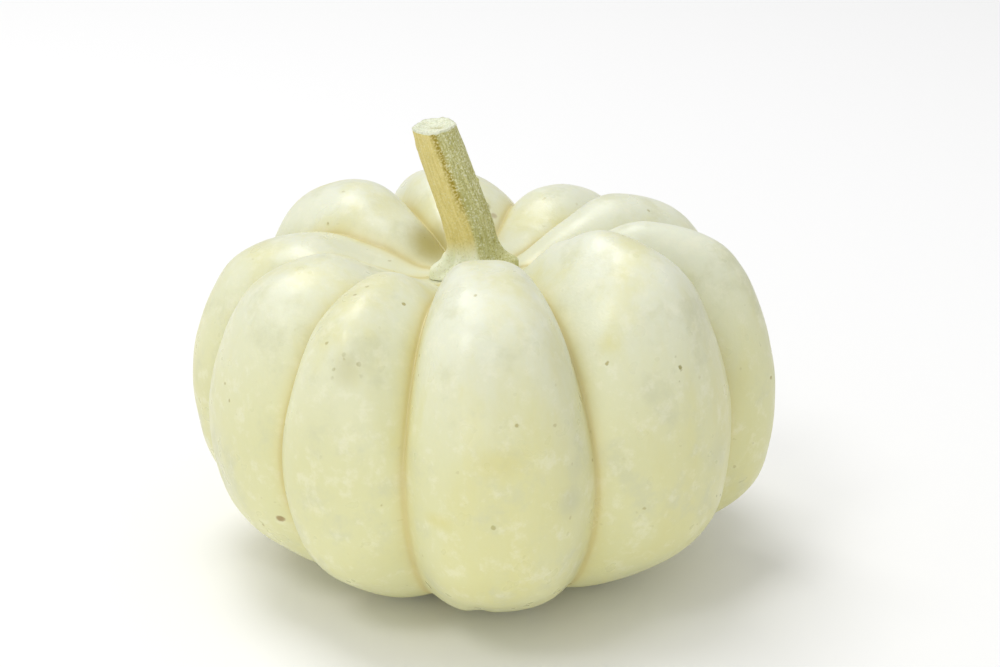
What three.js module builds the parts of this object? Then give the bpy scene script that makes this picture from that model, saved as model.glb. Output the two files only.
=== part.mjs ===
// A white ribbed pumpkin with its cut stem, standing on the undersides of its ribs.
// Units are millimetres and +Z is up. Bearings are in degrees seen from above: 0 is the front (-Y)
// and 90 is the right (+X). The origin is on the ground under the middle of the pumpkin.
import * as THREE from "three";

// ---- fruit ----

const SEAT_RADIUS = 16.8; // the flat seat that the stem's foot stands on
const SEAT_HEIGHT = 106; // height of the middle of the seat
const SEAT_SLOPE = 0.07; // upward slope of the seat towards the right
const BLOSSOM_HEIGHT = 10; // height of the blossom end, at the middle of the underside

// Half an outline from the seat to the blossom end, as [radius, height] points: once along the crests
// of the ribs, and once along the furrows between them.
const CREST_LINE = [
  [SEAT_RADIUS, SEAT_HEIGHT], [22.5, 108.5], [39, 117.5], [58, 124], [85, 113], [98, 79],
  [96, 38], [77, 17], [49, 3], [25, 3], [0, BLOSSOM_HEIGHT],
];
const FURROW_LINE = [
  [SEAT_RADIUS, SEAT_HEIGHT], [22, 106.5], [35, 110], [56, 112], [75, 98], [89, 71],
  [87, 45], [72, 20], [47, 7], [24, 6], [0, BLOSSOM_HEIGHT],
];

// The ribs in order of bearing. Each starts at the furrow with the bearing `furrow` and ends at the
// next one's. Its crest lies at the share `crest` of the way across, it swells out by the share
// `reach` more than the common outline, and its shoulder stands `rise` millimetres higher.
const RIBS = [
  { furrow: -15, crest: 0.49, reach: 0.05, rise: 6 },
  { furrow: 25, crest: 0.54, reach: -0.02, rise: 8 },
  { furrow: 71, crest: 0.5, reach: 0.045, rise: 2 },
  { furrow: 96, crest: 0.51, reach: -0.035, rise: 2 },
  { furrow: 132, crest: 0.48, reach: -0.015, rise: -3 },
  { furrow: 165, crest: 0.62, reach: 0, rise: 0 },
  { furrow: 207, crest: 0.46, reach: -0.005, rise: 1 },
  { furrow: 247, crest: 0.55, reach: 0.01, rise: -7 },
  { furrow: 280, crest: 0.5, reach: -0.04, rise: -4 },
  { furrow: 315, crest: 0.5, reach: -0.025, rise: -2 },
];

const RIB_ROUNDNESS = 2.2; // power of the curve across a rib: 2 is a parabola, more is squarer
const SHOULDER_START = 40; // height above which a rib's rise begins
const SHOULDER_DEPTH = 66; // height over which the rise grows to its full amount
const RISE_WIDTH = 18; // distance outside the seat over which the rise grows to its full amount
const LEAN = -0.023; // sideways lean of the fruit's axis, per millimetre of height
const RESTING_HEIGHT = 2.3; // the undersides of the ribs are flattened at this height
const COLUMNS_PER_RIB = 8;
const FRUIT_ROWS = 40;

// ---- stem ----

const SEAT_GAP = 0.3; // clearance between the seat and the stem's foot
const STEM_LENGTH = 52; // from the foot to the cut
const STEM_RIDGES = [10, 92, 160, 222, 286]; // bearings of the ridges at the foot
const STEM_TWIST = 12; // degrees that the ridges turn back from foot to cut
const RIDGE_SHARPNESS = 1.5; // power that narrows the ridges against the faces between them
const COLUMNS_PER_RIDGE = 6;
const STEM_ROWS = 18;

// Outlines from the cut down to the foot, as [radius, height above the seat]: along the ridges, which
// spread into buttresses at the foot, and along the faces between them.
const RIDGE_LINE = [
  [7.4, STEM_LENGTH], [7.5, 44], [7.6, 36], [7.8, 26], [8.1, 16], [8.6, 10.5],
  [11, 6.4], [15, 3.4], [15.7, 0],
];
const FACE_LINE = [
  [6.8, STEM_LENGTH], [6.9, 44], [7, 36], [7.2, 26], [7.5, 16], [7.7, 10],
  [8.6, 5.4], [11, 2.4], [12, 0],
];

// The middle of the stem: [sideways shift, height above the seat], from the foot to the cut.
const STEM_LINE = [
  [-0.3, 0], [-0.4, 6], [-1, 12], [-2.6, 19], [-5.2, 27], [-8, 35], [-10.7, 43], [-13.4, STEM_LENGTH],
];
const STEM_TILT = 0.32; // upward slope to the right of the stem's cross-sections where it leans
const CUT_TILT = 0.12; // upward slope of the cut to the right, which is nearer to level
const CUT_DIP = 0.08; // downward slope of the cut to the front
const TILT_START = 4; // height above the seat up to which the cross-sections slope as the seat does
const TILT_END = 18; // height above which they have their full slope
const CUT_BLEND = 10; // length below the cut over which the slope changes to the cut's
const CUT_DISH_DEPTH = 0.7; // the cut is dished, with a flat floor inside its rim
const CUT_RIM_WIDTH = 1.6;

const { degToRad, lerp, clamp, smoothstep } = THREE.MathUtils;

function outline(points) {
  return new THREE.SplineCurve(points.map(([across, height]) => new THREE.Vector2(across, height)));
}

// A closed mesh from a first pole, rings of points in order of bearing, and a last pole. The first
// pole is the upper one, so that the faces point outwards.
function closedSkin(firstPole, rings, lastPole) {
  const columns = rings[0].length;
  const points = [firstPole, ...rings.flat(), lastPole];
  const last = points.length - 1;
  const at = (row, column) => 1 + row * columns + (column % columns);
  const triangles = [];
  for (let column = 0; column < columns; column++) {
    triangles.push(0, at(0, column), at(0, column + 1));
    for (let row = 0; row < rings.length - 1; row++) {
      const upperLeft = at(row, column);
      const upperRight = at(row, column + 1);
      const lowerLeft = at(row + 1, column);
      const lowerRight = at(row + 1, column + 1);
      triangles.push(upperLeft, lowerLeft, lowerRight, upperLeft, lowerRight, upperRight);
    }
    triangles.push(last, at(rings.length - 1, column + 1), at(rings.length - 1, column));
  }
  const geometry = new THREE.BufferGeometry().setFromPoints(points);
  geometry.setIndex(triangles);
  geometry.computeVertexNormals();
  return geometry;
}

// 0 in the furrows and 1 on the crest, for the share `across` of a rib's width.
function swelling(across, crest) {
  const toCrest = across < crest ? 1 - across / crest : (across - crest) / (1 - crest);
  return 1 - toCrest ** RIB_ROUNDNESS;
}

// The bearings of the fruit's columns, closer together towards the furrows, each with its rib's
// values and how far the rib swells there.
function fruitColumns() {
  return RIBS.flatMap((rib, index) => {
    const next = index + 1 < RIBS.length ? RIBS[index + 1].furrow : RIBS[0].furrow + 360;
    return Array.from({ length: COLUMNS_PER_RIB }, (_, column) => {
      const across = (1 - Math.cos((Math.PI * column) / COLUMNS_PER_RIB)) / 2;
      return {
        rib,
        bearing: degToRad(lerp(rib.furrow, next, across)),
        swell: swelling(across, rib.crest),
      };
    });
  });
}

// The point of the skin in a column, between the crest's and the furrow's points at that place.
function fruitPoint(crestPoint, furrowPoint, { rib, bearing, swell }) {
  const radius = lerp(furrowPoint.x, crestPoint.x * (1 + rib.reach * swell), swell);
  const level = lerp(furrowPoint.y, crestPoint.y, swell);
  const upper = clamp((level - SHOULDER_START) / SHOULDER_DEPTH, 0, 1);
  const outer = clamp((radius - SEAT_RADIUS) / RISE_WIDTH, 0, 1);
  const seatTilt = SEAT_SLOPE * radius * Math.sin(bearing) * upper * (1 - outer);
  const height = level + rib.rise * swell * upper * outer + seatTilt;
  return new THREE.Vector3(
    radius * Math.sin(bearing) + LEAN * level,
    -radius * Math.cos(bearing),
    Math.max(height, RESTING_HEIGHT),
  );
}

function fruitGeometry() {
  const crestLine = outline(CREST_LINE);
  const furrowLine = outline(FURROW_LINE);
  const columns = fruitColumns();
  const rings = Array.from({ length: FRUIT_ROWS }, (_, row) => {
    const along = row / FRUIT_ROWS;
    const crestPoint = crestLine.getPoint(along);
    const furrowPoint = furrowLine.getPoint(along);
    return columns.map((column) => fruitPoint(crestPoint, furrowPoint, column));
  });
  const seat = new THREE.Vector3(LEAN * SEAT_HEIGHT, 0, SEAT_HEIGHT);
  const blossomEnd = new THREE.Vector3(LEAN * BLOSSOM_HEIGHT, 0, BLOSSOM_HEIGHT);
  return closedSkin(seat, rings, blossomEnd);
}

// The bearings of the stem's columns, each with 1 on a ridge and 0 in the middle of a face.
function stemColumns() {
  return STEM_RIDGES.flatMap((start, index) => {
    const next = index + 1 < STEM_RIDGES.length ? STEM_RIDGES[index + 1] : STEM_RIDGES[0] + 360;
    return Array.from({ length: COLUMNS_PER_RIDGE }, (_, column) => {
      const across = column / COLUMNS_PER_RIDGE;
      return {
        bearing: degToRad(lerp(start, next, across)),
        ridge: (0.5 + 0.5 * Math.cos(2 * Math.PI * across)) ** RIDGE_SHARPNESS,
      };
    });
  });
}

// The sideways shift of the stem's middle at a height above the seat.
function stemCentre(height) {
  const end = Math.max(1, STEM_LINE.findIndex(([, level]) => level >= height));
  const [startShift, startHeight] = STEM_LINE[end - 1];
  const [endShift, endHeight] = STEM_LINE[end];
  return lerp(startShift, endShift, (height - startHeight) / (endHeight - startHeight));
}

// The slope of the stem's cross-section at a height above the seat.
function stemTilt(height) {
  const leaning = lerp(SEAT_SLOPE, STEM_TILT, smoothstep(height, TILT_START, TILT_END));
  return lerp(leaning, CUT_TILT, smoothstep(height, STEM_LENGTH - CUT_BLEND, STEM_LENGTH));
}

// A point of the stem, at a radius and a height above the seat, on a cross-section that leans.
function stemPoint(radius, height, bearing) {
  const sideways = radius * Math.sin(bearing);
  const forwards = radius * Math.cos(bearing);
  const dip = CUT_DIP * smoothstep(height, STEM_LENGTH - CUT_BLEND, STEM_LENGTH);
  return new THREE.Vector3(
    LEAN * SEAT_HEIGHT + stemCentre(height) + sideways,
    -forwards,
    SEAT_HEIGHT + SEAT_GAP + height + stemTilt(height) * sideways - dip * forwards,
  );
}

function stemGeometry() {
  const ridgeLine = outline(RIDGE_LINE);
  const faceLine = outline(FACE_LINE);
  const columns = stemColumns();
  const ring = (along, inset, drop) =>
    columns.map(({ bearing, ridge }) => {
      const section = faceLine.getPoint(along).lerp(ridgeLine.getPoint(along), ridge);
      const height = section.y - drop;
      const twist = degToRad((STEM_TWIST * height) / STEM_LENGTH);
      return stemPoint(section.x - inset, height, bearing - twist);
    });
  const dish = ring(0, CUT_RIM_WIDTH, CUT_DISH_DEPTH);
  const sides = Array.from({ length: STEM_ROWS + 1 }, (_, row) => ring(row / STEM_ROWS, 0, 0));
  const cutCentre = stemPoint(0, STEM_LENGTH - CUT_DISH_DEPTH, 0);
  return closedSkin(cutCentre, [dish, ...sides], stemPoint(0, 0, 0));
}

// ---- the pumpkin ----

function piece(name, geometry, look) {
  const mesh = new THREE.Mesh(geometry, new THREE.MeshStandardMaterial(look));
  mesh.name = name;
  return mesh;
}

const pumpkin = new THREE.Group();
pumpkin.name = "white_pumpkin";
pumpkin.add(
  piece("fruit", fruitGeometry(), { color: 0xdedcb8, roughness: 0.45, metalness: 0 }),
  piece("stem", stemGeometry(), { color: 0xc3bc7f, roughness: 0.75, metalness: 0 }),
);

// The group is moved so that its box stands on the ground, centred on the origin.
const box = new THREE.Box3().setFromObject(pumpkin);
const middle = box.getCenter(new THREE.Vector3());
pumpkin.position.set(-middle.x, -middle.y, -box.min.z);

export default pumpkin;
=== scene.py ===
"""A white ribbed pumpkin with its cut stem: finished surfaces, a pale floor, soft light and a camera.

The shapes are worked out in millimetres about the fruit's axis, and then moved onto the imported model.
Bearings are in degrees seen from above: 0 is the front (-Y) and 90 is the right (+X).
"""
import math

import bpy
import numpy as np
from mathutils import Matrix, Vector, noise


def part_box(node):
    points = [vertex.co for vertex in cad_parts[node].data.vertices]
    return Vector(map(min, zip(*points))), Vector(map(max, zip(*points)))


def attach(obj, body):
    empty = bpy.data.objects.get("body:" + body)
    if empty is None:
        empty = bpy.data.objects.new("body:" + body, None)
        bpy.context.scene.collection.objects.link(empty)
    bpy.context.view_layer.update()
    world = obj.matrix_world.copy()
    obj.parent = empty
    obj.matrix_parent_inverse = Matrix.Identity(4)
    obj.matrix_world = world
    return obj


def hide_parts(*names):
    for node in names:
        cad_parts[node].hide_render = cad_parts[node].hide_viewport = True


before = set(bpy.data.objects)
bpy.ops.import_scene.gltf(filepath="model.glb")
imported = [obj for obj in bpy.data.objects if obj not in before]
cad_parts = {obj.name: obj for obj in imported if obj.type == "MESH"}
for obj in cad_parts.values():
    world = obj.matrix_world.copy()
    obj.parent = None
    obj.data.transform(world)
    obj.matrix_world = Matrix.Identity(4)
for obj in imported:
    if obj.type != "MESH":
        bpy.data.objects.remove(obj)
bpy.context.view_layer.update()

# ---- the fruit's shape ----

SEAT_RADIUS = 16.8
SEAT_HEIGHT = 106.0
SEAT_SLOPE = 0.07  # upward slope of the stem's seat towards the right
BLOSSOM_HEIGHT = 10.0
# Half an outline from the seat to the blossom end, as (radius, height): along the crests of the ribs,
# and along the furrows between them.
CREST_LINE = (
    (SEAT_RADIUS, SEAT_HEIGHT), (22.5, 108.5), (39, 117.5), (58, 124), (85, 113), (98, 79),
    (96, 38), (77, 17), (49, 3), (25, 3), (0, BLOSSOM_HEIGHT),
)
FURROW_LINE = (
    (SEAT_RADIUS, SEAT_HEIGHT), (22, 106.5), (35, 110), (56, 112), (75, 98), (89, 71),
    (87, 45), (72, 20), (47, 7), (24, 6), (0, BLOSSOM_HEIGHT),
)
# One row for each rib: the bearing of the furrow that it starts at, the place of its crest across
# it, its extra reach, its extra height, and how full its left and right flanks are (2 is round,
# less is a gentle slope and more is steep).
RIBS = np.array([
    (-15, 0.49, 0.05, 6, 3.2, 3.0),
    (25, 0.54, -0.02, 8, 1.5, 2.3),
    (71, 0.50, 0.045, 2, 1.9, 2.2),
    (96, 0.51, -0.035, 2, 2.2, 2.2),
    (132, 0.48, -0.015, -3, 2.2, 2.4),
    (165, 0.62, 0.0, 0, 2.2, 3.0),
    (207, 0.46, -0.005, 1, 2.4, 2.2),
    (247, 0.55, 0.01, -7, 2.2, 2.0),
    (280, 0.50, -0.04, -4, 2.9, 1.5),
    (315, 0.50, -0.025, -2, 2.9, 1.45),
])
LEAN = -0.023  # sideways lean of the fruit's axis, per millimetre of height
RESTING_HEIGHT = 2.3
SHOULDER_START = 40
SHOULDER_DEPTH = 66
RISE_WIDTH = 18
CREASE_AT_SHOULDER = 0.4  # radius that rounds the bottom of a furrow, in millimetres
CREASE_AT_BASE = 2.5
COLUMNS_PER_RIB = 40
FRUIT_ROWS = 230

# Marks on the skin, and one patch of painted shade: the middle and the size in millimetres in each
# direction, the screen colour, how strongly it shows, and how much of it is a solid core (0 fades from
# the middle, 1 has a hard edge).
BROWN = (150, 118, 62)
OLIVE = (172, 166, 100)
YELLOW = (216, 208, 124)
GREY = (190, 193, 168)
# The colour of painted shade, for the dark hollow beside the stem where a rib's inner face turns from
# the light.
PAINTED_SHADE = (172, 160, 84)
SKIN_MARKS_AND_SHADE = (
    ((41.2, -54.4, 120.4), (2.6, 2.6, 1.1), BROWN, 0.85, 0.5),
    ((-66.7, -56.3, 37.6), (3, 3, 1.9), BROWN, 0.8, 0.6),
    ((2.4, 44.1, 113.3), (2.6, 3, 2.2), OLIVE, 0.7, 0.3),
    ((4.9, 41, 110.5), (2.2, 3, 1.8), BROWN, 0.5, 0.3),
    ((23.1, -94.1, 59.9), (1, 1, 1), BROWN, 0.6, 0.5),
    ((3.3, -100.3, 56.9), (1.1, 1, 1.1), OLIVE, 0.7, 0.5),
    # Painted shade: the dark hollow beside the stem's foot, on the inner face of the back-left rib.
    ((-16, 21, 108), (16, 22, 15), PAINTED_SHADE, 0.95, 0.0),
    ((5.4, -99.9, 77.6), (13, 13, 9), YELLOW, 0.4, 0.0),
    ((-13.1, -94.8, 56.6), (9, 9, 5), YELLOW, 0.45, 0.0),
    ((26.6, -90.9, 61.4), (9, 9, 9), GREY, 0.4, 0.0),
    ((38.6, -66.4, 103.4), (7, 7, 6), YELLOW, 0.4, 0.0),
    ((72, -50, 60), (14, 14, 12), GREY, 0.35, 0.0),
    ((-42.4, -76, 100), (9, 9, 11), OLIVE, 0.3, 0.0),
    ((-0.5, 2.7, 7), (12, 12, 9), OLIVE, 0.6, 0.2),
    ((-0.5, 2.7, 7), (6, 6, 6), BROWN, 0.9, 0.6),
)
# Clusters of fine specks: the middle and the size in millimetres in each direction.
SPECK_CLUSTERS = (
    ((-42.4, -76, 100), (7, 7, 11)),
    ((-73, -54.4, 80), (6, 6, 9)),
    ((38.6, -66.4, 103.4), (6, 6, 6)),
    ((45, -80, 50), (12, 9, 14)),
    ((60, -62, 92), (9, 9, 9)),
    ((-30, -88, 45), (10, 8, 9)),
)

EDGE_WOBBLE = 0.0012  # how far the edge of a mark is shifted unevenly, in metres

# ---- the stem's shape ----

STEM_LENGTH = 52.0
STEM_RIDGES = (10, 92, 160, 222, 286)
STEM_TWIST = 12.0
GROOVE_BEARING = 10  # the front ridge, which parts the tan left face from the green right one
RIDGE_SHARPNESS = 1.5
RIDGE_LINE = (
    (7.4, STEM_LENGTH), (7.5, 44), (7.6, 36), (7.8, 26), (8.1, 16), (8.6, 10.5),
    (11, 6.4), (15, 3.4), (15.7, 0),
)
FACE_LINE = (
    (6.8, STEM_LENGTH), (6.9, 44), (7, 36), (7.2, 26), (7.5, 16), (7.7, 10),
    (8.6, 5.4), (11, 2.4), (12, 0),
)
STEM_LINE = (
    (-0.3, 0), (-0.4, 6), (-1, 12), (-2.6, 19), (-5.2, 27), (-8, 35), (-10.7, 43),
    (-13.4, STEM_LENGTH),
)
STEM_TILT = 0.32  # upward slope to the right of the cross-sections where the stem leans
CUT_TILT = 0.12  # upward slope of the cut to the right
CUT_DIP = 0.08  # downward slope of the cut to the front
TILT_START = 4  # height above the seat where the stem's cross-sections begin to tilt
TILT_END = 18
CUT_BLEND = 10  # length below the cut over which the slope changes to the cut's
CUT_DISH_DEPTH = 0.9
SEAT_GAP = 0.3  # clearance between the fruit's seat and the stem's foot
LOBE_NOTCH_BEARING = 306  # the notch that parts the two left lobes of the foot
SECOND_LOBE_BEARING = 326
STEM_COLUMNS = 300
STEM_ROWS = 220
CUT_ROWS = 26

# ---- helpers for shapes ----


def step(value, low, high):
    """0 below low and 1 above high, with a smooth ramp between them."""
    share = np.clip((value - low) / (high - low), 0, 1)
    return share * share * (3 - 2 * share)


def lerp(start, end, share):
    """The value at a share of the way from start to end."""
    return start + (end - start) * share


def along_outline(points, share):
    """The places at the given shares of the way along a smooth line through the points."""
    line = np.array([points[0], *points, points[-1]], float)
    place = np.asarray(share) * (len(points) - 1)
    first = np.minimum(place.astype(int), len(points) - 2)
    rest = (place - first)[..., None]
    before, start, end, after = (line[first + offset] for offset in range(4))
    leaving = (end - before) / 2
    arriving = (after - start) / 2
    cubic = 2 * start - 2 * end + leaving + arriving
    square = 3 * end - 3 * start - 2 * leaving - arriving
    return ((cubic * rest + square) * rest + leaving) * rest + start


def roughness_at(points, scale, seed):
    """Smooth noise between about -1 and 1 at each point, with features of the given size."""
    flat = points.reshape(-1, 3) / scale + seed
    values = [noise.noise(Vector(point)) for point in flat]
    return np.array(values).reshape(points.shape[:-1])


def closed_skin(name, first_pole, rings, last_pole):
    """A closed mesh object from an upper pole, rings in order of bearing, and a lower pole."""
    rows, columns, _ = rings.shape
    last = 1 + rows * columns
    number = 1 + np.arange(rows * columns).reshape(rows, columns)
    after = np.roll(number, -1, axis=1)
    faces = [(0, left, right) for left, right in zip(number[0], after[0])]
    sides = np.stack([number[:-1], number[1:], after[1:], after[:-1]], axis=-1)
    faces += [tuple(side) for side in sides.reshape(-1, 4)]
    faces += [(last, right, left) for left, right in zip(number[-1], after[-1])]
    points = np.vstack([first_pole, rings.reshape(-1, 3), last_pole])
    mesh = bpy.data.meshes.new(name)
    mesh.from_pydata(points.tolist(), [], [[int(i) for i in face] for face in faces])
    mesh.shade_smooth()
    skin = bpy.data.objects.new(name, mesh)
    bpy.context.collection.objects.link(skin)
    return skin


def keep_value(skin, name, rings, first, last):
    """Stores one number for each point, for the material to read."""
    values = np.concatenate([[first], np.asarray(rings, float).ravel(), [last]])
    skin.data.attributes.new(name, "FLOAT", "POINT").data.foreach_set("value", values)


# ---- the fruit ----


def rib_columns():
    """The rib, the bearing and the place across the rib of each column, closer near the furrows."""
    share = np.arange(COLUMNS_PER_RIB) / COLUMNS_PER_RIB
    across = share - 0.6 * np.sin(2 * np.pi * share) / (2 * np.pi)
    starts = RIBS[:, 0]
    widths = np.diff(np.append(starts, starts[0] + 360))
    bearing = np.radians(starts[:, None] + widths[:, None] * across)
    rib = np.repeat(np.arange(len(RIBS)), COLUMNS_PER_RIB)
    return rib, bearing.ravel(), np.tile(across, len(RIBS)), np.radians(widths)[rib]


def swelling(rib, across, width, radius, softness):
    """0 in the furrows and 1 on the crest, and the distance from the furrow in millimetres."""
    crest = RIBS[rib, 1]
    on_left = across < crest
    flank = np.where(on_left, crest, 1 - crest)
    from_crest = np.where(on_left, crest - across, across - crest) / flank
    flank_length = flank * width * radius
    rounding = softness / np.maximum(flank_length, 1)
    sharp = np.sqrt(1 + rounding**2)
    curved = (sharp - np.sqrt((1 - from_crest) ** 2 + rounding**2)) / (sharp - rounding)
    fullness = np.where(on_left, RIBS[rib, 4], RIBS[rib, 5])
    return 1 - np.clip(curved, 0, 1) ** fullness, (1 - from_crest) * flank_length


def fruit_points(along, rib, bearing, across, width):
    """Points of the skin, how far each swells, and its distance from the furrow."""
    crest_line = along_outline(CREST_LINE, along)
    furrow_line = along_outline(FURROW_LINE, along)
    softness = lerp(CREASE_AT_SHOULDER, CREASE_AT_BASE, step(along, 0.45, 0.8))
    swell, from_furrow = swelling(rib, across, width, furrow_line[..., 0], softness)
    reach = 1 + RIBS[rib, 2] * swell
    radius = lerp(furrow_line[..., 0], crest_line[..., 0] * reach, swell)
    level = lerp(furrow_line[..., 1], crest_line[..., 1], swell)
    upper = np.clip((level - SHOULDER_START) / SHOULDER_DEPTH, 0, 1)
    outer = np.clip((radius - SEAT_RADIUS) / RISE_WIDTH, 0, 1)
    seat_tilt = SEAT_SLOPE * radius * np.sin(bearing) * upper * (1 - outer)
    height = level + RIBS[rib, 3] * swell * upper * outer + seat_tilt
    sideways = radius * np.sin(bearing) + LEAN * level
    return np.stack([sideways, -radius * np.cos(bearing), height], axis=-1), swell, from_furrow


def uneven(points, swell):
    """The skin with a grown fruit's slight lumps, and a faint crease low on the front rib."""
    away = points - np.array([0, 0, 60])
    away /= np.linalg.norm(away, axis=-1, keepdims=True)
    clear_of_seat = step(np.hypot(points[..., 0], points[..., 1]), 20, 40)
    lumps = 1.1 * roughness_at(points, 38, 3.1) + 0.35 * roughness_at(points, 13, 8.7)
    front_middle = np.exp(-(((points[..., 0] + 1) / 3.5) ** 2)) * (points[..., 1] < 0)
    lumps -= 1.1 * front_middle * (1 - step(points[..., 2], 14, 30))
    return points + away * (lumps * clear_of_seat * (0.3 + 0.7 * swell))[..., None]


def make_fruit():
    rib, bearing, across, width = rib_columns()
    along = (np.arange(FRUIT_ROWS) / FRUIT_ROWS)[:, None] * np.ones(len(rib))
    rings, swell, from_furrow = fruit_points(along, rib, bearing, across, width)
    rings = uneven(rings, swell)
    rings[..., 2] = np.maximum(rings[..., 2], RESTING_HEIGHT)
    seat = np.array([LEAN * SEAT_HEIGHT, 0, SEAT_HEIGHT])
    blossom_end = np.array([LEAN * BLOSSOM_HEIGHT, 0, BLOSSOM_HEIGHT])
    fruit = closed_skin("pumpkin_skin", seat, rings, blossom_end)
    # How close each point is to a furrow, for the painted shade in the furrows and creases.
    keep_value(fruit, "furrow", np.exp(-((from_furrow / 3.5) ** 2)), 0, 1)
    keep_value(fruit, "crease", np.exp(-((from_furrow / 1.4) ** 2)), 0, 1)
    return fruit


# ---- the stem ----


def stem_columns():
    """The bearing of each column, and 1 on a ridge or 0 in the middle of a face."""
    starts = np.array(STEM_RIDGES, float)
    widths = np.diff(np.append(starts, starts[0] + 360))
    share = np.arange(STEM_COLUMNS // len(starts)) * len(starts) / STEM_COLUMNS
    bearing = np.radians(starts[:, None] + widths[:, None] * share).ravel()
    ridge = (0.5 + 0.5 * np.cos(2 * np.pi * share)) ** RIDGE_SHARPNESS
    return bearing, np.tile(ridge, len(starts))


def stem_place(radius, height, bearing):
    """The point at a radius and a height above the seat, on a cross-section that leans."""
    curve = along_outline(STEM_LINE, np.linspace(0, 1, 200))
    centre = np.interp(height, curve[:, 1], curve[:, 0])
    near_cut = step(height, STEM_LENGTH - CUT_BLEND, STEM_LENGTH)
    leaning = lerp(SEAT_SLOPE, STEM_TILT, step(height, TILT_START, TILT_END))
    tilt = lerp(leaning, CUT_TILT, near_cut)
    sideways = radius * np.sin(bearing)
    forwards = radius * np.cos(bearing)
    return np.stack([
        LEAN * SEAT_HEIGHT + centre + sideways,
        -forwards,
        SEAT_HEIGHT + SEAT_GAP + height + tilt * sideways - CUT_DIP * near_cut * forwards,
    ], axis=-1)


def angle_from(bearing, middle):
    """The angle in degrees from a bearing, between -180 and 180."""
    return (np.degrees(bearing) - middle + 180) % 360 - 180


def stem_relief(bearing, height, fibres):
    """How far the stem's skin stands out: lengthwise fibres, a groove, warts and lobes at its foot."""
    clear_of_cut = 1 - step(height, STEM_LENGTH - 1.5, STEM_LENGTH - 0.2)
    clear_of_foot = step(height, 0.4, 3)
    right_face = step(angle_from(bearing, 45), -50, -25) * (1 - step(angle_from(bearing, 45), 60, 90))
    relief = (0.16 + 0.16 * right_face) * roughness_at(fibres, 0.8, 5.0)
    relief += 0.3 * roughness_at(fibres, 2.6, 1.0)
    warts = np.maximum(roughness_at(fibres * np.array([1, 1, 5]), 1.6, 9.0) - 0.35, 0)
    relief += warts * (0.5 + 0.9 * right_face)
    groove = np.exp(-((angle_from(bearing, GROOVE_BEARING) / 9) ** 2))
    relief -= 0.4 * groove * step(height, 20, 32) * clear_of_cut
    between_lobes = np.exp(-((angle_from(bearing, LOBE_NOTCH_BEARING) / 7) ** 2))
    relief -= 2.0 * between_lobes * (1 - step(height, 5, 12))
    second_lobe = np.exp(-((angle_from(bearing, SECOND_LOBE_BEARING) / 9) ** 2))
    relief += 2.6 * second_lobe * (1 - step(height, 3, 9))
    return relief * clear_of_foot, groove * step(height, 16, 30)


def cut_face(bearing, edge_radius, edge_turned):
    """Rings of the cut from its middle to its edge, dished, with a raised uneven rim and a pit."""
    inward = np.linspace(0, 1, CUT_ROWS, endpoint=False)[1:, None]
    radius = edge_radius * inward
    flat = np.stack([radius * np.sin(bearing), radius * np.cos(bearing), 0 * radius], axis=-1)
    dish = CUT_DISH_DEPTH * (1 - step(inward, 0.62, 0.93))
    dish = dish + 0.2 * roughness_at(flat, 1.4, 2.0) * (1 - inward**8)
    pit = np.exp(-(((flat[..., 0] - 0.6) / 2.4) ** 2) - ((flat[..., 1] + 0.4) / 0.8) ** 2)
    height = STEM_LENGTH - dish - 0.9 * pit
    return stem_place(radius, height, edge_turned), pit


def make_stem():
    bearing, ridge = stem_columns()
    along = np.linspace(0, 1, STEM_ROWS)[:, None] * np.ones(len(bearing))
    section = lerp(along_outline(FACE_LINE, along), along_outline(RIDGE_LINE, along), ridge[:, None])
    radius, height = section[..., 0], section[..., 1]
    turned = bearing - np.radians(STEM_TWIST) * height / STEM_LENGTH
    around = np.broadcast_to(bearing, height.shape)
    fibres = np.stack([7.5 * np.sin(around), 7.5 * np.cos(around), height * 0.1], axis=-1)
    relief, groove = stem_relief(around, height, fibres)
    scallop = 0.25 * roughness_at(fibres[0], 1.7, 4.0)
    sides = stem_place(radius + relief, height + scallop * step(height, 49, STEM_LENGTH), turned)
    cut, pit = cut_face(bearing, radius[0] - 0.25, turned[0])
    top = stem_place(0, STEM_LENGTH - CUT_DISH_DEPTH - 0.6, 0)
    stem = closed_skin("cut_stem", top, np.concatenate([cut, sides]), stem_place(0, 0, 0))
    no_cut = np.zeros(cut.shape[:2])
    from_ridge = angle_from(around, GROOVE_BEARING)
    right = step(from_ridge, -2, 8) * (1 - step(from_ridge, 110, 135))
    keep_value(stem, "cut", np.concatenate([no_cut + 1, (height > 51.3)]), 1, 0)
    keep_value(stem, "pit", np.concatenate([pit, np.zeros_like(height)]), 1, 0)
    keep_value(stem, "groove", np.concatenate([no_cut, groove]), 0, 0)
    keep_value(stem, "right_face", np.concatenate([no_cut, right]), 0, 0)
    keep_value(stem, "above_foot", np.concatenate([no_cut + STEM_LENGTH, height]), STEM_LENGTH, 0)
    keep_value(stem, "straight_x", np.concatenate([no_cut, fibres[..., 0]]), 0, 0)
    keep_value(stem, "straight_y", np.concatenate([no_cut, fibres[..., 1]]), 0, 0)
    return stem


# ---- materials ----


def srgb(red, green, blue):
    """A linear colour from the 0 to 255 values of a screen colour."""
    def linear(level):
        share = level / 255
        return share / 12.92 if share <= 0.04045 else ((share + 0.055) / 1.055) ** 2.4
    return (linear(red), linear(green), linear(blue), 1.0)


def new_material(name):
    material = bpy.data.materials.new(name)
    material.use_nodes = True
    tree = material.node_tree
    return material, tree, tree.nodes["Principled BSDF"]


def add(tree, kind, inputs, **settings):
    """A node of a kind; each input is a fixed value or another node's output."""
    made = tree.nodes.new(kind)
    for name, value in settings.items():
        setattr(made, name, value)
    for name, value in inputs.items():
        if isinstance(value, bpy.types.NodeSocket):
            tree.links.new(value, made.inputs[name])
        else:
            made.inputs[name].default_value = value
    return made


def blend(tree, share, start, end, mode="MIX"):
    mixed = add(tree, "ShaderNodeMix", {0: share, 6: start, 7: end}, data_type="RGBA", blend_type=mode)
    return mixed.outputs[2]


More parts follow.
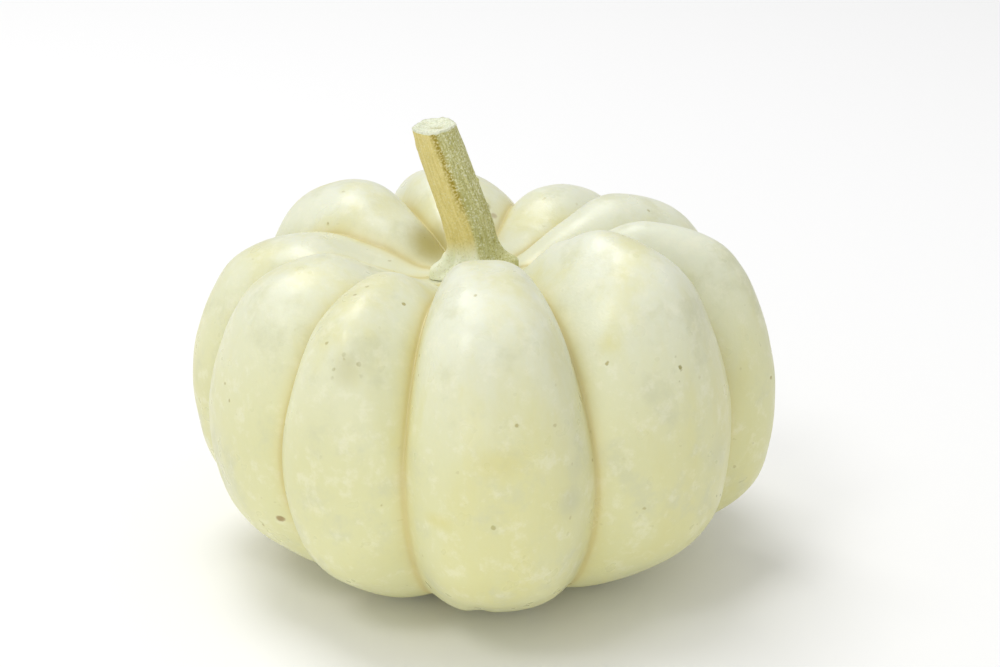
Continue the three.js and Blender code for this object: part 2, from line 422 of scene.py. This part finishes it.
def ramp(tree, value, low, high, start=0.0, end=1.0):
    ranged = {"Value": value, "From Min": low, "From Max": high, "To Min": start, "To Max": end}
    return add(tree, "ShaderNodeMapRange", ranged, interpolation_type="SMOOTHSTEP").outputs[0]


def clouds(tree, place, scale, detail=2.0, harshness=0.5):
    inputs = {"Vector": place, "Scale": scale, "Detail": detail, "Roughness": harshness}
    return add(tree, "ShaderNodeTexNoise", inputs).outputs["Fac"]


def stored(tree, name):
    return add(tree, "ShaderNodeAttribute", {}, attribute_name=name).outputs["Fac"]


def rough(tree, shader, height, strength, distance):
    """Gives the surface small bumps from a height."""
    bump = add(tree, "ShaderNodeBump", {"Height": height, "Strength": strength, "Distance": distance})
    tree.links.new(bump.outputs["Normal"], shader.inputs["Normal"])


def total(tree, first, second, share):
    """The first value plus a share of the second."""
    inputs = {0: second, 1: share, 2: first}
    return add(tree, "ShaderNodeMath", inputs, operation="MULTIPLY_ADD").outputs[0]


def shaken(tree, place, scale, amount):
    """The place with a small uneven shift, which makes the outlines drawn with it ragged."""
    inputs = {"Vector": place, "Scale": scale, "Detail": 3}
    wobble = add(tree, "ShaderNodeTexNoise", inputs).outputs["Color"]
    shift = {0: wobble, 1: (amount,) * 3, 2: place}
    return add(tree, "ShaderNodeVectorMath", shift, operation="MULTIPLY_ADD").outputs[0]


def product(tree, first, second):
    return add(tree, "ShaderNodeMath", {0: first, 1: second}, operation="MULTIPLY").outputs[0]


def spots(tree, place, scale, size, rarity):
    """1 on scattered ragged dots and 0 between them; a higher rarity leaves more of them out."""
    ragged = shaken(tree, place, scale * 2.5, 0.3 / scale)
    cells = add(tree, "ShaderNodeTexVoronoi", {"Vector": ragged, "Scale": scale})
    chosen = add(tree, "ShaderNodeSeparateColor", {0: cells.outputs["Color"]})
    dots = ramp(tree, cells.outputs["Distance"], size, size * 0.4)
    picked = ramp(tree, chosen.outputs[0], rarity, rarity + 0.05)
    return product(tree, product(tree, dots, picked), chosen.outputs[1])


def mark(tree, place, middle, size, core):
    """1 in a ragged patch around a middle and 0 away from it; the sizes are in millimetres."""
    ragged = shaken(tree, place, 500, EDGE_WOBBLE)
    centre = tuple(value / 1000 + EDGE_WOBBLE / 2 for value in middle)
    offset = add(tree, "ShaderNodeVectorMath", {0: ragged, 1: centre}, operation="SUBTRACT").outputs[0]
    shares = tuple(1000 / value for value in size)
    scaled = add(tree, "ShaderNodeVectorMath", {0: offset, 1: shares}, operation="MULTIPLY").outputs[0]
    distance = add(tree, "ShaderNodeVectorMath", {0: scaled}, operation="LENGTH").outputs["Value"]
    return ramp(tree, distance, 1.0, core * 0.9)


def rind_material():
    material, tree, shader = new_material("rind")
    place = add(tree, "ShaderNodeTexCoord", {}).outputs["Object"]
    height = add(tree, "ShaderNodeSeparateXYZ", {"Vector": place}).outputs["Z"]
    streaks = add(tree, "ShaderNodeMapping", {"Vector": place, "Scale": (1, 1, 0.3)}).outputs[0]
    # Paler and whiter towards the top: partly the skin's own tone, partly painted light for the
    # stronger light and white sheen on the upper faces.
    colour = blend(tree, ramp(tree, height, 0.058, 0.138), srgb(220, 219, 168), srgb(228, 231, 213))
    yellower = ramp(tree, clouds(tree, streaks, 36, 5, 0.6), 0.44, 0.68, 0, 0.6)
    colour = blend(tree, yellower, colour, srgb(219, 215, 150))
    greyer = ramp(tree, clouds(tree, place, 52, 5, 0.65), 0.5, 0.7, 0, 0.6)
    colour = blend(tree, greyer, colour, srgb(207, 208, 172))
    paler = ramp(tree, clouds(tree, place, 150, 4, 0.7), 0.5, 0.7, 0, 0.35)
    colour = blend(tree, paler, colour, srgb(240, 239, 214))
    # Painted shade: the furrows are tinted a darker yellow and the bottom of each crease a darker tan,
    # for the shade and yellow bounce light in them.
    colour = blend(tree, ramp(tree, stored(tree, "furrow"), 0, 1, 0, 0.35), colour, srgb(220, 208, 138))
    colour = blend(tree, ramp(tree, stored(tree, "crease"), 0, 1, 0, 0.5), colour, srgb(200, 182, 104))
    for middle, size in SPECK_CLUSTERS:
        dots = ramp(tree, spots(tree, place, 330, 0.34, 0.45), 0, 0.6)
        specks = product(tree, mark(tree, place, middle, size, 0.2), dots)
        colour = blend(tree, specks, colour, srgb(146, 138, 66))
    small_spots = ramp(tree, spots(tree, place, 170, 0.16, 0.75), 0, 1, 0, 0.8)
    colour = blend(tree, small_spots, colour, srgb(170, 158, 92))
    large_spots = ramp(tree, spots(tree, place, 80, 0.1, 0.8), 0, 1, 0, 0.8)
    colour = blend(tree, large_spots, colour, srgb(150, 136, 74))
    # Skin marks, and one patch of painted shade beside the stem.
    for middle, size, mark_and_shade_colour, strength, core in SKIN_MARKS_AND_SHADE:
        patch = ramp(tree, mark(tree, place, middle, size, core), 0, 1, 0, strength)
        colour = blend(tree, patch, colour, srgb(*mark_and_shade_colour))
    tree.links.new(colour, shader.inputs["Base Color"])
    glossy = ramp(tree, clouds(tree, place, 110), 0.3, 0.7, 0.27, 0.42)
    tree.links.new(glossy, shader.inputs["Roughness"])
    pores = total(tree, clouds(tree, place, 1000, 3), clouds(tree, place, 330, 3), 1.2)
    rough(tree, shader, pores, 0.3, 0.0002)
    shader.inputs["Subsurface Weight"].default_value = 0.15
    shader.inputs["Subsurface Radius"].default_value = (1.0, 0.85, 0.5)
    shader.inputs["Subsurface Scale"].default_value = 0.006
    return material


def stem_material():
    material, tree, shader = new_material("stem")
    above_foot = stored(tree, "above_foot")
    right_face = stored(tree, "right_face")
    straight = add(tree, "ShaderNodeCombineXYZ", {
        "X": stored(tree, "straight_x"), "Y": stored(tree, "straight_y"),
        "Z": total(tree, 0.0, above_foot, 0.1),
    }).outputs[0]
    place = add(tree, "ShaderNodeTexCoord", {}).outputs["Object"]
    fibres = clouds(tree, straight, 1.1, 5, 0.65)
    blotches = clouds(tree, place, 260, 5, 0.6)
    left = blend(tree, ramp(tree, fibres, 0.35, 0.65), srgb(212, 196, 118), srgb(226, 212, 142))
    right = blend(tree, ramp(tree, fibres, 0.38, 0.62), srgb(184, 182, 116), srgb(208, 206, 150))
    colour = blend(tree, right_face, left, right)
    low = ramp(tree, above_foot, 15, 6)
    colour = blend(tree, low, colour, blend(tree, right_face, srgb(236, 240, 212), srgb(204, 204, 146)))
    grains = clouds(tree, place, 1500, 1)
    speckled = ramp(tree, right_face, 0, 1, 0.25, 0.8)
    pale_specks = product(tree, ramp(tree, grains, 0.58, 0.66), speckled)
    colour = blend(tree, pale_specks, colour, srgb(230, 230, 198))
    dark_specks = product(tree, ramp(tree, grains, 0.42, 0.34), speckled)
    colour = blend(tree, dark_specks, colour, srgb(170, 164, 92))
    colour = blend(tree, ramp(tree, blotches, 0.55, 0.75, 0, 0.3), colour, srgb(176, 164, 98))
    broken = product(tree, stored(tree, "groove"), ramp(tree, grains, 0.62, 0.45, 0.2, 1))
    colour = blend(tree, broken, colour, srgb(158, 140, 34))
    cut = blend(tree, ramp(tree, grains, 0.4, 0.65), srgb(230, 233, 210), srgb(210, 214, 184))
    cut = blend(tree, stored(tree, "pit"), cut, srgb(190, 186, 136))
    colour = blend(tree, stored(tree, "cut"), colour, cut)
    tree.links.new(colour, shader.inputs["Base Color"])
    shader.inputs["Roughness"].default_value = 0.62
    rough(tree, shader, total(tree, fibres, blotches, 0.8), 0.5, 0.0006)
    shader.inputs["Subsurface Weight"].default_value = 0.1
    shader.inputs["Subsurface Radius"].default_value = (1.0, 0.8, 0.4)
    shader.inputs["Subsurface Scale"].default_value = 0.002
    return material


# ---- placing and lighting ----


def onto_frame(fruit, others):
    """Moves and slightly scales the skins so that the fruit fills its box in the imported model."""
    low, high = (Vector(corner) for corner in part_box("fruit"))
    points = np.array([vertex.co for vertex in fruit.data.vertices])
    shape_low, shape_high = points.min(axis=0), points.max(axis=0)
    scale = (high - low).x / (shape_high - shape_low)[0]
    middle = (shape_low + shape_high) / 2
    shift = np.array([(low.x + high.x) / 2, (low.y + high.y) / 2, low.z])
    shift -= scale * np.array([middle[0], middle[1], shape_low[2]])
    for skin in (fruit, *others):
        points = np.array([vertex.co for vertex in skin.data.vertices]) * scale + shift
        skin.data.vertices.foreach_set("co", points.ravel())
        skin.data.update()


def make_floor():
    bpy.ops.mesh.primitive_plane_add(size=6, location=(0, 0, -0.0003))
    floor = bpy.context.object
    floor.name = "floor"
    material, _, shader = new_material("pale_floor")
    shader.inputs["Base Color"].default_value = (0.95, 0.95, 0.95, 1)
    shader.inputs["Roughness"].default_value = 0.9
    floor.data.materials.append(material)


def make_world(strength):
    world = bpy.data.worlds.new("soft_white")
    world.use_nodes = True
    background = world.node_tree.nodes["Background"]
    background.inputs["Color"].default_value = (1, 1, 1, 1)
    background.inputs["Strength"].default_value = strength
    bpy.context.scene.world = world


def make_light(name, place, target, size, power):
    lamp = bpy.data.lights.new(name, "AREA")
    lamp.shape = "RECTANGLE"
    lamp.size, lamp.size_y = size
    lamp.energy = power
    light = bpy.data.objects.new(name, lamp)
    light.location = place
    light.rotation_euler = (target - place).to_track_quat("-Z", "Y").to_euler()
    bpy.context.collection.objects.link(light)


def make_camera():
    """A camera at a person's height over a table, looking down at the pumpkin from its front."""
    aim = Vector((0.0064, 0.0099, 0.0774))
    elevation, bearing, distance = math.radians(21.45), math.radians(0.52), 0.79
    away = Vector((
        -math.sin(bearing) * math.cos(elevation),
        -math.cos(bearing) * math.cos(elevation),
        math.sin(elevation),
    ))
    lens = bpy.data.cameras.new("camera")
    lens.lens = 81.5
    lens.sensor_width = 36
    camera = bpy.data.objects.new("camera", lens)
    camera.location = aim + away * distance
    camera.rotation_euler = (-away).to_track_quat("-Z", "Y").to_euler()
    bpy.context.collection.objects.link(camera)
    bpy.context.scene.camera = camera


def main():
    fruit = make_fruit()
    stem = make_stem()
    onto_frame(fruit, [stem])
    fruit.data.materials.append(rind_material())
    stem.data.materials.append(stem_material())
    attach(fruit, "root")
    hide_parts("fruit")
    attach(stem, "root")
    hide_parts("stem")
    make_floor()
    make_world(0.6)
    middle = Vector((0, 0, 0.07))
    make_light("overhead_light", Vector((-0.5, 0.5, 2.05)), middle, (0.9, 1.3), 19)
    make_light("front_light", Vector((-0.9, -1.0, 1.85)), middle, (0.6, 0.6), 7)
    make_light("low_light", Vector((-0.3, -1.4, 0.2)), middle, (1.2, 0.4), 3.2)
    make_camera()
    bpy.context.scene.view_settings.view_transform = "Standard"


main()
